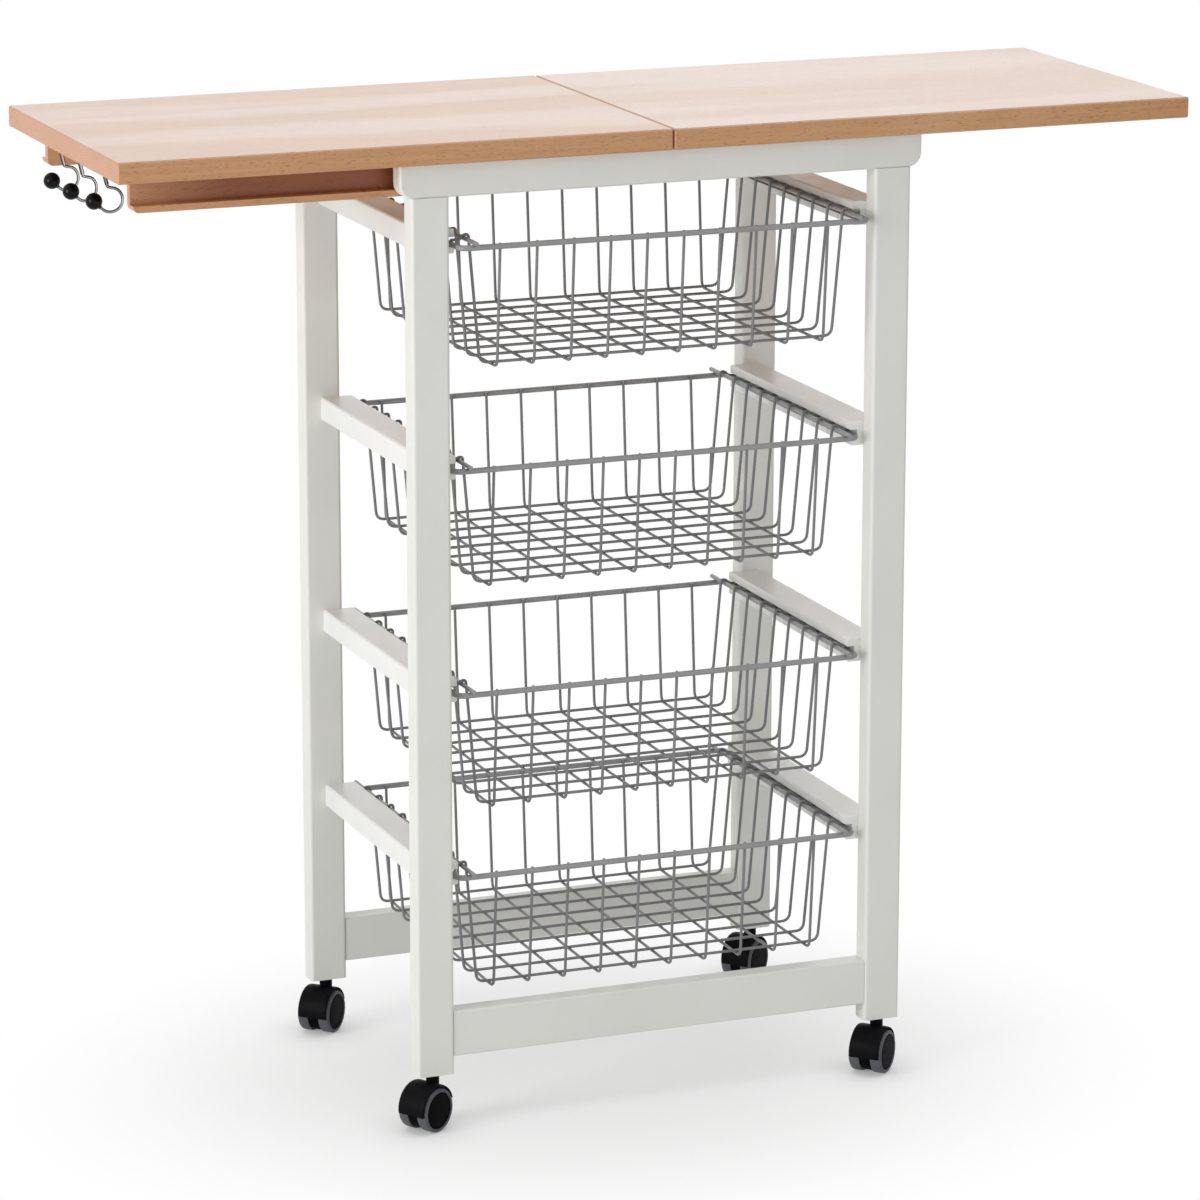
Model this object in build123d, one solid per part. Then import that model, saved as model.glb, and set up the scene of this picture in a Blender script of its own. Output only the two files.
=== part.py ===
from build123d import *
import math
import os

# Kitchen cart: a white timber frame on four swivel castors, four pull-out wire baskets, and a beech
# worktop of two hinged leaves that slides along the frame so that one leaf can fold out beside it.
# Millimetres. X runs along the worktop, Y from the front to the back, Z up from the floor.
# The frame is centred on X = 0 and Y = 0. The leaves are drawn opened out.

# Frame
FRAME_WIDTH = 460.0
FRAME_DEPTH = 310.0
LEG_WIDTH = 34.0
LEG_THICKNESS = 20.4
LEG_LENGTH = 774.8
LEG_EDGE = 3.0

TOP_RAIL_HEIGHT = 29.4
TOP_RAIL_THICKNESS = 18.0
TOP_RAIL_OVERHANG = 10.0
TOP_RAIL_NOSE = 12.5
TOP_RAIL_EDGE = 1.5

BOTTOM_RAIL_HEIGHT = 41.0
BOTTOM_RAIL_THICKNESS = 18.0
BOTTOM_RAIL_ABOVE_FOOT = 15.9
BOTTOM_RAIL_SET_BACK = 1.0
BOTTOM_RAIL_EDGE = 1.2

# Runners that carry the baskets, from the top one down
LEVELS = 4
RUNNER_BELOW_LEG_TOP = 30.8
RUNNER_STEPS = [196.0, 196.5, 164.5]
RUNNER_WIDTH = 29.5
RUNNER_HEIGHT = 21.0
RUNNER_INSET = 16.0
RUNNER_EDGE = 1.2
GROOVE_LIP = 7.0
GROOVE_PLAY = 1.0
GROOVE_DEPTH = 6.6

# Tenons that join the frame
TENON_LENGTH = 10.0
TENON_THICKNESS = 8.0
TENON_SHOULDER = 6.0
TENON_GAP = 0.05
TENON_TO_SOCKET = 2.0

# Worktop leaves
LEAF_END_OVERHANG = 5.0
LEAF_FRONT_OVERHANG = 10.5
LEAF_THICKNESS = 18.3
LEAF_EDGE = 1.2
SEAM_X = 3.2
SEAM_GAP = 1.2
LEAF_REST_GAP = 0.2

# Channels under the left leaf, and the tongues they run on
SLIDE_END_INSET = 21.4
SLIDE_THICKNESS = 17.5
SLIDE_LIP = 10.0
SLIDE_TOP_LIP = 3.4
SLIDE_BOTTOM_LIP = 5.6
SLIDE_CORNER = 5.0
SLIDE_SIDE_GAP = 0.4
TONGUE_PLAY = 0.5
TRAVEL_SHORT_OF_HALF = 3.0
STOP_GAP = 0.4
STOP_LENGTH = 12.0
STOP_SIDE_GAP = 0.4

# Barrel hinges hidden in the meeting ends of the leaves
BARREL_DIAMETER = 12.0
BARREL_LENGTH = 15.0
BARREL_GAP = 0.05
BARREL_FROM_EDGE = 60.5
BARREL_MOUTH = 7.0
LINK_THICKNESS = 1.6
LINK_HEIGHT = 7.0
LINK_REACH = 4.6
LINK_PITCH = 2.2
LINK_SLOT_GAP = 0.25

# Utensil hooks under the left end
HOOK_PITCH = 57.0
HOOK_TURNS = [-14.0, 9.0, 4.0]
HOOK_INSET = 24.0
HOOK_DROP = 30.4
HOOK_RADIUS = 10.4
HOOK_WIRE = 2.6
HOOK_SIDES = 6
HOOK_KNEE = 1.8
HOOK_SWEEP = 225.0
HOOK_TAIL = 3.6
HOOK_SCREW_DEPTH = 11.0
HOOK_BALL = 13.0
HOOK_BALL_FLAT = 3.0

# Wire baskets, measured on the centre lines of the wires
RIM_WIRE = 5.0
ROD_WIRE = 4.0
WIRE = 2.6
RIM_SIDES = 8
ROD_SIDES = 6
WIRE_SIDES = 4
RIM_SIDE_GAP = 0.6
RIM_SHORT_OF_FRAME = 13.0
RIM_CORNER = 10.0
RIM_PLAY = 0.3
ROD_OVERHANG = 8.0
ROD_FROM_RIM = 11.5
BASKET_DEPTH = 106.0
BASKET_ABOVE_RAIL = 24.1
LAP_SLANT = 50.0
LONG_WIRES = 10
LONG_WIRE_FROM_SIDE = 36.8
LONG_WIRE_LEAN = 4.5
LONG_WIRE_ABOVE_RIM = 2.0
CROSS_WIRES = 9
CROSS_WIRE_FROM_END = 22.1
CROSS_WIRE_LEAN = 5.0
WIRE_BEND = 6.0
WELD_GAP = 0.03
# How far behind the legs' front faces each front rim stands as the cart is drawn
RIM_SET_BACK = [-5.0, 12.0, 7.0, 10.0]

# Twin-wheel castors, each turned about its stem as the cart is drawn
CASTOR_TURNS = {"front_left": 32.0, "front_right": 44.0, "back_left": 46.0, "back_right": 38.0}
CASTOR_TRAIL = 10.0
WHEEL_DIAMETER = 39.2
WHEEL_WIDTH = 10.6
WHEEL_FACE_SPAN = 31.6
WHEEL_SHOULDER = 1.8
WHEEL_TREAD = 3.0
WHEEL_DISC_STEP = 0.7
WHEEL_GAP = 0.5
AXLE_DIAMETER = 5.0
AXLE_IN_WHEEL = 7.4
AXLE_GAP = 0.06
STEM_DIAMETER = 7.0
STEM_IN_LEG = 36.0
STEM_IN_HOOD = 22.0
STEM_GAP = 0.06
SOCKET_DIAMETER = 10.0
SOCKET_LENGTH = 38.0
PRESSED_GAP = 0.03
NECK_DIAMETER = 11.6
NECK_HEIGHT = 6.3
NECK_GAP = 0.3
HOOD_WIDTH = 28.6
HOOD_SHELL = 1.2
HOOD_FORWARD = 0.2
HOOD_RAISED = 1.2
HOOD_TAIL_BELOW_AXLE = 2.0
HOOD_TIP_ABOVE_AXLE = 6.5
HOOD_EDGE = 0.6
HOOD_WHEEL_GAP = 0.8
HUB_FROM_TREAD = 1.4

# Sides and ends, as steps along X and Y
SIDES = {"left": -1, "right": 1}
ENDS = {"front": -1, "back": 1}

# Places and sizes worked out from the sizes above
AXLE_Z = WHEEL_DIAMETER / 2
WHEEL_INNER = WHEEL_FACE_SPAN / 2 - WHEEL_WIDTH
WHEEL_OUTER = WHEEL_FACE_SPAN / 2
HUB_HALF = WHEEL_INNER - WHEEL_GAP
HOOD_RADIUS = WHEEL_DIAMETER / 2 + HOOD_WHEEL_GAP + HOOD_SHELL
CASTOR_HEIGHT = AXLE_Z + HOOD_RAISED + HOOD_RADIUS + NECK_HEIGHT

LEG_TOP = CASTOR_HEIGHT + LEG_LENGTH
LEG_X = (FRAME_WIDTH - LEG_WIDTH) / 2
LEG_Y = (FRAME_DEPTH - LEG_THICKNESS) / 2
LEG_FACE_X = FRAME_WIDTH / 2 - LEG_WIDTH
LEG_FACE_Y = FRAME_DEPTH / 2 - LEG_THICKNESS
RAIL_TOP = LEG_TOP + TOP_RAIL_HEIGHT
TOP_RAIL_LENGTH = FRAME_WIDTH + 2 * TOP_RAIL_OVERHANG
TOP_RAIL_INNER = FRAME_DEPTH / 2 - TOP_RAIL_THICKNESS
BOTTOM_RAIL_Z = CASTOR_HEIGHT + BOTTOM_RAIL_ABOVE_FOOT + BOTTOM_RAIL_HEIGHT / 2
BOTTOM_RAIL_Y = FRAME_DEPTH / 2 - BOTTOM_RAIL_SET_BACK - BOTTOM_RAIL_THICKNESS / 2
BOTTOM_RAIL_TENON = LEG_WIDTH / 2 - SOCKET_DIAMETER / 2 - TENON_TO_SOCKET
RUNNER_OUTER = FRAME_WIDTH / 2 - RUNNER_INSET
RUNNER_INNER = RUNNER_OUTER - RUNNER_WIDTH
RUNNER_TENON_X = (LEG_FACE_X + RUNNER_OUTER) / 2
GROOVE_HEIGHT = RIM_WIRE + WIRE + GROOVE_PLAY
TOP_RUNNER = LEG_TOP - RUNNER_BELOW_LEG_TOP
LOW_RUNNER = BOTTOM_RAIL_Z + BOTTOM_RAIL_HEIGHT / 2 + BASKET_DEPTH + BASKET_ABOVE_RAIL
RUNNER_DROPS = [sum(RUNNER_STEPS[:level]) / sum(RUNNER_STEPS) for level in range(LEVELS)]
RUNNER_TOPS = [TOP_RUNNER - drop * (TOP_RUNNER - LOW_RUNNER) for drop in RUNNER_DROPS]

LEAF_LENGTH = TOP_RAIL_LENGTH + 2 * LEAF_END_OVERHANG
LEAF_DEPTH = FRAME_DEPTH + 2 * LEAF_FRONT_OVERHANG
TOP_TRAVEL = LEAF_LENGTH / 2 - TRAVEL_SHORT_OF_HALF
LEAF_BOTTOM = RAIL_TOP + LEAF_REST_GAP
LEAF_MIDDLE = LEAF_BOTTOM + LEAF_THICKNESS / 2
LEAF_TOP = LEAF_BOTTOM + LEAF_THICKNESS
LEFT_LEAF_END = SEAM_X - SEAM_GAP / 2 - LEAF_LENGTH
SLIDE_START = LEFT_LEAF_END + SLIDE_END_INSET
SLIDE_END = SLIDE_START + LEAF_LENGTH - 2 * SLIDE_END_INSET
SLIDE_OUTER = TOP_RAIL_INNER - SLIDE_SIDE_GAP
SLIDE_WEB = SLIDE_OUTER - SLIDE_LIP
SLIDE_INNER = SLIDE_OUTER - SLIDE_THICKNESS
SLIDE_BOTTOM = LEAF_BOTTOM - TOP_RAIL_HEIGHT
SLIDE_GROOVE_TOP = LEAF_BOTTOM - SLIDE_TOP_LIP
SLIDE_GROOVE_BOTTOM = SLIDE_BOTTOM + SLIDE_BOTTOM_LIP
TONGUE_START = TOP_RAIL_NOSE - TOP_RAIL_LENGTH / 2
TONGUE_END = SLIDE_END - STOP_LENGTH - STOP_GAP
STOP_BLOCK_X = SLIDE_END + TOP_TRAVEL + STOP_GAP
BARREL_ROWS = [end * (LEAF_DEPTH / 2 - BARREL_FROM_EDGE) for end in ENDS.values()]
HOOK_ROWS = [-HOOK_PITCH, 0.0, HOOK_PITCH]

RIM_HALF_WIDTH = RUNNER_INNER + GROOVE_DEPTH - RIM_WIRE / 2 - RIM_SIDE_GAP
RIM_LENGTH = FRAME_DEPTH - RIM_SHORT_OF_FRAME
RIM_Z = [top - GROOVE_LIP - GROOVE_HEIGHT + RIM_WIRE / 2 + RIM_PLAY for top in RUNNER_TOPS]
ROD_X = RIM_HALF_WIDTH - ROD_FROM_RIM
ROD_RISE = (RIM_WIRE + ROD_WIRE) / 2 + WELD_GAP


def save(node, *solids):
    """Write one node's solids to its own file."""
    shape = solids[0] if len(solids) == 1 else Compound(children=list(solids))
    export_step(shape, f"parts/{node}.step")


def block(x, y, z):
    """A block between two limits on each axis, given in either order."""
    low, high = zip(*(sorted(limits) for limits in (x, y, z)))
    size = [b - a for a, b in zip(low, high)]
    centre = [(a + b) / 2 for a, b in zip(low, high)]
    return Pos(*centre) * Box(*size)


def bar(start, end, diameter):
    """A round bar from one point to another."""
    start = Vector(*start)
    along = Vector(*end) - start
    return Plane(origin=start, z_dir=along) * Cylinder(
        diameter / 2, along.length, align=(Align.CENTER, Align.CENTER, Align.MIN)
    )


def polar(radius, degrees):
    """The X and Y of a point on a circle about zero."""
    return radius * math.cos(math.radians(degrees)), radius * math.sin(math.radians(degrees))


def chords(centre, radius, start, sweep_angle, count):
    """The points that divide an arc into equal chords, as pairs of coordinates."""
    places = [polar(radius, start + sweep_angle * i / count) for i in range(count + 1)]
    return [(centre[0] + a, centre[1] + b) for a, b in places]


def wire(points, across, size, sides, closed=False):
    """A wire of few flat sides, size over its flats, with mitred bends between straight runs."""
    points = [Vector(*p) for p in points]
    turn = 180 / sides if sides % 4 == 0 else 0
    section = Plane(origin=points[0], x_dir=across, z_dir=points[1] - points[0]) * RegularPolygon(
        size / 2, sides, major_radius=False, rotation=turn
    )
    return sweep(section, path=Polyline(*points, close=closed), transition=Transition.RIGHT)


# Frame


def tenon(x, y, z, gap=0.0):
    """A tenon between two limits on each axis, or its mortise with a gap at its sides and end."""
    return block(*[(min(limits) - gap, max(limits) + gap) for limits in (x, y, z)])


def bottom_rail_tenon(x_side, y_side, gap=0.0):
    x = sorted((x_side * LEG_FACE_X, x_side * (LEG_FACE_X + BOTTOM_RAIL_TENON)))
    y = y_side * BOTTOM_RAIL_Y
    half_height = BOTTOM_RAIL_HEIGHT / 2 - TENON_SHOULDER
    return tenon(
        x,
        (y - TENON_THICKNESS / 2, y + TENON_THICKNESS / 2),
        (BOTTOM_RAIL_Z - half_height, BOTTOM_RAIL_Z + half_height),
        gap,
    )


def runner_tenon(x_side, y_side, top, gap=0.0):
    x = x_side * RUNNER_TENON_X
    z = top - RUNNER_HEIGHT / 2
    return tenon(
        (x - TENON_THICKNESS / 2, x + TENON_THICKNESS / 2),
        sorted((y_side * LEG_FACE_Y, y_side * (LEG_FACE_Y + TENON_LENGTH))),
        (z - RUNNER_HEIGHT / 2 + TENON_SHOULDER, z + RUNNER_HEIGHT / 2 - TENON_SHOULDER),
        gap,
    )


def leg_tenon(x_side, y_side, gap=0.0):
    x, y = x_side * LEG_X, y_side * LEG_Y
    half_width = LEG_WIDTH / 2 - TENON_SHOULDER
    return tenon(
        (x - half_width, x + half_width),
        (y - TENON_THICKNESS / 2, y + TENON_THICKNESS / 2),
        (LEG_TOP, LEG_TOP + TENON_LENGTH),
        gap,
    )


def leg(x_side, y_side):
    """A leg with rounded edges, a tenon on top, mortises, and a bore for the castor's socket."""
    post = Pos(0, 0, CASTOR_HEIGHT + LEG_LENGTH / 2) * Box(LEG_WIDTH, LEG_THICKNESS, LEG_LENGTH)
    post = fillet(post.edges().filter_by(Axis.Z), LEG_EDGE)
    bore = bar(
        (0, 0, CASTOR_HEIGHT - 1), (0, 0, CASTOR_HEIGHT + SOCKET_LENGTH), SOCKET_DIAMETER + 2 * PRESSED_GAP
    )
    post = Pos(x_side * LEG_X, y_side * LEG_Y, 0) * (post - bore)
    post += leg_tenon(x_side, y_side)
    post -= bottom_rail_tenon(x_side, y_side, TENON_GAP)
    for top in RUNNER_TOPS:
        post -= runner_tenon(x_side, y_side, top, TENON_GAP)
    return post


def top_rail(y_side):
    """A rail over two legs, its lower corners rounded to a nose beyond them."""
    outline = Rectangle(TOP_RAIL_LENGTH, TOP_RAIL_HEIGHT)
    outline = fillet(outline.vertices().group_by(Axis.Y)[0], TOP_RAIL_NOSE)
    rail = extrude(Plane.XZ * outline, TOP_RAIL_THICKNESS / 2, both=True)
    broad = rail.faces().filter_by(Axis.Y)
    rail = chamfer(broad.edges(), TOP_RAIL_EDGE)
    y = y_side * (FRAME_DEPTH - TOP_RAIL_THICKNESS) / 2
    rail = Pos(0, y, LEG_TOP + TOP_RAIL_HEIGHT / 2) * rail
    for x_side in SIDES.values():
        rail -= leg_tenon(x_side, y_side, TENON_GAP)
    return rail


def bottom_rail(y_side):
    """A rail between two legs, low down, with a tenon at each end."""
    rail = Box(2 * LEG_FACE_X, BOTTOM_RAIL_THICKNESS, BOTTOM_RAIL_HEIGHT)
    rail = chamfer(rail.edges().filter_by(Axis.X), BOTTOM_RAIL_EDGE)
    rail = Pos(0, y_side * BOTTOM_RAIL_Y, BOTTOM_RAIL_Z) * rail
    for x_side in SIDES.values():
        rail += bottom_rail_tenon(x_side, y_side)
    return rail


def runner(x_side, top):
    """A beam from a front leg to a back leg, grooved inside for a basket's rim."""
    beam = Box(RUNNER_WIDTH, 2 * LEG_FACE_Y, RUNNER_HEIGHT)
    beam = chamfer(beam.edges().filter_by(Axis.Y), RUNNER_EDGE)
    beam = Pos(x_side * (RUNNER_INNER + RUNNER_OUTER) / 2, 0, top - RUNNER_HEIGHT / 2) * beam
    groove_top = top - GROOVE_LIP
    beam -= block(
        (x_side * (RUNNER_INNER - 1), x_side * (RUNNER_INNER + GROOVE_DEPTH)),
        (-LEG_FACE_Y, LEG_FACE_Y),
        (groove_top - GROOVE_HEIGHT, groove_top),
    )
    for y_side in ENDS.values():
        beam += runner_tenon(x_side, y_side, top)
    return beam


def tongue(y_side):
    """The strip on a top rail's inner face that the channel under the leaf slides on."""
    return block(
        (TONGUE_START, TONGUE_END),
        (y_side * TOP_RAIL_INNER, y_side * (SLIDE_WEB + TONGUE_PLAY)),
        (SLIDE_GROOVE_BOTTOM + TONGUE_PLAY, SLIDE_GROOVE_TOP - TONGUE_PLAY),
    )


def stop_block(y_side):
    """The block on a top rail's inner face that the channel meets when the top is closed."""
    return block(
        (STOP_BLOCK_X, STOP_BLOCK_X + STOP_LENGTH),
        (y_side * TOP_RAIL_INNER, y_side * SLIDE_INNER),
        (SLIDE_BOTTOM + SLIDE_CORNER, RAIL_TOP - SLIDE_TOP_LIP),
    )


def make_frame():
    for x_name, x_side in SIDES.items():
        for y_name, y_side in ENDS.items():
            save(f"leg_{y_name}_{x_name}", leg(x_side, y_side))
        for level, top in enumerate(RUNNER_TOPS, start=1):
            save(f"runner_{x_name}_{level}", runner(x_side, top))
    for y_name, y_side in ENDS.items():
        save(f"top_rail_{y_name}", top_rail(y_side))
        save(f"bottom_rail_{y_name}", bottom_rail(y_side))
        save(f"slide_tongue_{y_name}", tongue(y_side))
    save("slide_stop_blocks", *[stop_block(y_side) for y_side in ENDS.values()])


# Worktop


def barrel_body(x_side, row, gap=0.0):
    """The round body of a hinge barrel, from its leaf's end face inwards, or its bore."""
    mouth = SEAM_X + x_side * SEAM_GAP / 2
    end = mouth + x_side * (BARREL_LENGTH + gap)
    return bar((mouth, row, LEAF_MIDDLE), (end, row, LEAF_MIDDLE), BARREL_DIAMETER + 2 * gap)


def barrel(x_side, row):
    """A hinge barrel, slotted at its mouth for the links of both leaves."""
    mouth = SEAM_X + x_side * SEAM_GAP / 2
    slot_half = (LINK_PITCH + LINK_THICKNESS) / 2 + LINK_SLOT_GAP
    slot = block(
        (mouth, mouth + x_side * BARREL_MOUTH),
        (row - slot_half, row + slot_half),
        (LEAF_MIDDLE - BARREL_DIAMETER, LEAF_MIDDLE + BARREL_DIAMETER),
    )
    return barrel_body(x_side, row) - slot


def link(x_side, row):
    """The link plate of one barrel: rooted in its slot, its nose in the slot across the seam."""
    root = SEAM_X + x_side * (SEAM_GAP / 2 + BARREL_MOUTH)
    nose = SEAM_X - x_side * LINK_REACH
    y = row + x_side * LINK_PITCH / 2
    return block(
        (root, nose),
        (y - LINK_THICKNESS / 2, y + LINK_THICKNESS / 2),
        (LEAF_MIDDLE - LINK_HEIGHT / 2, LEAF_MIDDLE + LINK_HEIGHT / 2),
    )


def leaf(x_side):
    """One beech board with eased edges, bored at the seam for the hinges."""
    near = SEAM_X + x_side * SEAM_GAP / 2
    board = block(
        (near, near + x_side * LEAF_LENGTH), (-LEAF_DEPTH / 2, LEAF_DEPTH / 2), (LEAF_BOTTOM, LEAF_TOP)
    )
    board = chamfer(board.edges(), LEAF_EDGE)
    for row in BARREL_ROWS:
        board -= barrel_body(x_side, row, BARREL_GAP)
    return board


def channel(y_side):
    """A beech channel under the left leaf, open outwards, with its lower end corners rounded."""
    beam = block(
        (SLIDE_START, SLIDE_END), (y_side * SLIDE_INNER, y_side * SLIDE_OUTER), (SLIDE_BOTTOM, LEAF_BOTTOM)
    )
    beam = fillet(beam.edges().filter_by(Axis.Y).group_by(Axis.Z)[0], SLIDE_CORNER)
    return beam - block(
        (SLIDE_START, SLIDE_END),
        (y_side * SLIDE_WEB, y_side * (SLIDE_OUTER + 1)),
        (SLIDE_GROOVE_BOTTOM, SLIDE_GROOVE_TOP),
    )


def channel_stop(y_side):
    """The block in a channel's groove that meets the tongue when the top is drawn out."""
    return block(
        (SLIDE_END - STOP_LENGTH, SLIDE_END),
        (y_side * SLIDE_WEB, y_side * (SLIDE_OUTER - STOP_SIDE_GAP)),
        (SLIDE_GROOVE_BOTTOM, SLIDE_GROOVE_TOP),
    )


def hook_points():
    """A hook's centre line about its shank, X against height: shank, tight knee, round of the hook, tail."""
    loop = (HOOK_KNEE, -HOOK_DROP)
    knee = (HOOK_KNEE, HOOK_RADIUS + HOOK_KNEE - HOOK_DROP)
    points = [(0, HOOK_SCREW_DEPTH)]
    points += chords(knee, HOOK_KNEE, 180, 90, 2)
    points += chords(loop, HOOK_RADIUS, 90, -HOOK_SWEEP, 10)[1:]
    along = polar(1, 90 - HOOK_SWEEP - 90)
    points.append((points[-1][0] + HOOK_TAIL * along[0], points[-1][1] + HOOK_TAIL * along[1]))
    return points


def hook(row, turn):
    """One bent hook and the ball on its tail's end, turned a little about its shank."""
    points = hook_points()
    bent = wire([(x, 0, z) for x, z in points], (0, 1, 0), HOOK_WIRE, HOOK_SIDES)
    (before_x, before_z), (end_x, end_z) = points[-2:]
    tail = Plane(origin=(end_x, 0, end_z), x_dir=(0, 1, 0), z_dir=(end_x - before_x, 0, end_z - before_z))
    flat = math.degrees(math.asin(HOOK_BALL_FLAT / HOOK_BALL))
    arc = chords((0, HOOK_BALL / 2 * math.cos(math.radians(flat))), HOOK_BALL / 2, flat - 90, 180 - flat, 5)
    ball = tail * revolve(Plane.XZ * make_face(Polyline((0, 0), *arc, close=True)), Axis.Z)
    place = Pos(LEFT_LEAF_END + HOOK_INSET - HOOK_KNEE, row, LEAF_BOTTOM) * Rot(0, 0, turn)
    return place * bent, place * ball


def make_top():
    hooks, balls = zip(*[hook(row, turn) for row, turn in zip(HOOK_ROWS, HOOK_TURNS)])
    save("hook_wires", *hooks)
    save("hook_balls", *balls)
    left = leaf(-1)
    for bent in hooks:
        left -= bent
    save("leaf_left", left)
    save("leaf_right", leaf(1))
    for y_name, y_side in ENDS.items():
        save(f"slide_channel_{y_name}", channel(y_side))
    save("slide_channel_stops", *[channel_stop(y_side) for y_side in ENDS.values()])
    for x_name, x_side in SIDES.items():
        barrels = [barrel(x_side, row) for row in BARREL_ROWS]
        links = [link(x_side, row) for row in BARREL_ROWS]
        save(f"hinge_barrels_{x_name}", *barrels, *links)


# Baskets. Each is drawn about the centre of its rim, then moved to its level.


def rim():
    """The thick rounded-rectangle wire that rides in the grooves."""
    x, y = RIM_HALF_WIDTH - RIM_CORNER, RIM_LENGTH / 2 - RIM_CORNER
    corners = [(x, -y, -90), (x, y, 0), (-x, y, 90), (-x, -y, 180)]
    points = [(0, -RIM_LENGTH / 2)]
    for corner_x, corner_y, start in corners:
        points += chords((corner_x, corner_y), RIM_CORNER, start, 90, 3)
    return wire([(a, b, 0) for a, b in points], (0, 0, 1), RIM_WIRE, RIM_SIDES, closed=True)


def side_rod(x_side):
    """A rod that lies on the rim's front and back, inside one of its sides."""
    y = RIM_LENGTH / 2 + ROD_OVERHANG
    x = x_side * ROD_X
    return wire([(x, -y, ROD_RISE), (x, y, ROD_RISE)], (1, 0, 0), ROD_WIRE, ROD_SIDES)


def u_wire(half, floor_z, lean, wall):
    """Both halves of a bent wire: half holds one end's points, then the wall leans in to a round bend."""
    inward = math.tan(math.radians(lean)) * (half[-1][1] - floor_z)
    corner = wall - inward
    half = half + [
        (corner + WIRE_BEND * math.sin(math.radians(lean)), floor_z + WIRE_BEND),
        (corner - WIRE_BEND, floor_z),
    ]
    return [(-a, z) for a, z in half] + [(a, z) for a, z in reversed(half)]


def long_wire(x):
    """A wire from front to back: down inside the front rim, along the floor and up inside the back rim."""
    top_y = RIM_LENGTH / 2 - (RIM_WIRE + WIRE) / 2 - WELD_GAP
    points = u_wire([(top_y, LONG_WIRE_ABOVE_RIM)], -BASKET_DEPTH, LONG_WIRE_LEAN, top_y)
    return wire([(x, y, z) for y, z in points], (1, 0, 0), WIRE, WIRE_SIDES)


def cross_wire(y):
    """A wire from side to side over the long wires, its ends lapped over the rods onto the rim."""
    clear = ROD_WIRE / 2 / math.cos(math.pi / ROD_SIDES) + WIRE / 2 + WELD_GAP
    lap_z = (RIM_WIRE + WIRE) / 2 + WELD_GAP
    slant, wall = math.radians(LAP_SLANT), math.radians(180 - CROSS_WIRE_LEAN)
    lap_x = ROD_X + (clear - (lap_z - ROD_RISE) * math.sin(slant)) / math.cos(slant)
    over = polar(clear / math.cos((wall - slant) / 2), math.degrees(wall + slant) / 2)
    half = [(RIM_HALF_WIDTH + WIRE / 2, lap_z), (lap_x, lap_z), (ROD_X + over[0], ROD_RISE + over[1])]
    points = u_wire(half, WIRE + WELD_GAP - BASKET_DEPTH, CROSS_WIRE_LEAN, half[-1][0])
    return wire([(x, y, z) for x, z in points], (0, 1, 0), WIRE, WIRE_SIDES)


def spread(count, half):
    """Evenly spaced places from -half to half."""
    return [half * (2 * i / (count - 1) - 1) for i in range(count)]


def make_baskets():
    rim_parts = [rim(), side_rod(-1), side_rod(1)]
    wires = [long_wire(x) for x in spread(LONG_WIRES, RIM_HALF_WIDTH - LONG_WIRE_FROM_SIDE)]
    wires += [cross_wire(y) for y in spread(CROSS_WIRES, RIM_LENGTH / 2 - CROSS_WIRE_FROM_END)]
    for level, (set_back, z) in enumerate(zip(RIM_SET_BACK, RIM_Z), start=1):
        place = Pos(0, set_back + (RIM_LENGTH - FRAME_DEPTH) / 2, z)
        save(f"basket_{level}_rim", *[place * part for part in rim_parts])
        save(f"basket_{level}_wires", *[place * part for part in wires])


# Castors. Each is drawn with its stem on the Z axis and its wheels trailing along -X.


def hood():
    """The moulded body: a cover over both wheels, a hub between them and a neck for the stem."""
    centre = (HOOD_FORWARD - CASTOR_TRAIL, AXLE_Z + HOOD_RAISED)
    reach = 3 * HOOD_RADIUS
    cover = Pos(*centre) * Circle(HOOD_RADIUS)
    cover -= Pos(-CASTOR_TRAIL - reach / 2, AXLE_Z - HOOD_TAIL_BELOW_AXLE - reach / 2) * Rectangle(reach, reach)
    cover -= Pos(-CASTOR_TRAIL + reach / 2, AXLE_Z + HOOD_TIP_ABOVE_AXLE - reach / 2) * Rectangle(reach, reach)
    body = extrude(Plane.XZ * cover, HOOD_WIDTH / 2, both=True)
    arcs = body.faces().filter_by(Axis.Y).edges().filter_by(GeomType.CIRCLE)
    body = chamfer(arcs, HOOD_EDGE)
    body += bar((0, 0, AXLE_Z + HOOD_TIP_ABOVE_AXLE), (0, 0, CASTOR_HEIGHT - NECK_GAP), NECK_DIAMETER)
    for side in (-1, 1):
        body -= bar(
            (-CASTOR_TRAIL, side * HUB_HALF, AXLE_Z),
            (-CASTOR_TRAIL, side * HOOD_WIDTH, AXLE_Z),
            WHEEL_DIAMETER + 2 * HOOD_WHEEL_GAP,
        )
    hub_diameter = WHEEL_DIAMETER - 2 * HUB_FROM_TREAD
    body += bar((-CASTOR_TRAIL, -HUB_HALF, AXLE_Z), (-CASTOR_TRAIL, HUB_HALF, AXLE_Z), hub_diameter)
    body -= axle(PRESSED_GAP)
    return body - bar(
        (0, 0, CASTOR_HEIGHT - STEM_IN_HOOD), (0, 0, CASTOR_HEIGHT), STEM_DIAMETER + 2 * PRESSED_GAP
    )


def stem():
    """The steel pin from the hood up into the leg."""
    return bar((0, 0, CASTOR_HEIGHT - STEM_IN_HOOD), (0, 0, CASTOR_HEIGHT + STEM_IN_LEG), STEM_DIAMETER)


def axle(gap=0.0):
    """The steel axle through the hub, or its bore."""
    half = WHEEL_INNER + AXLE_IN_WHEEL
    return bar((-CASTOR_TRAIL, -half, AXLE_Z), (-CASTOR_TRAIL, half, AXLE_Z), AXLE_DIAMETER + 2 * gap)


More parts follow.
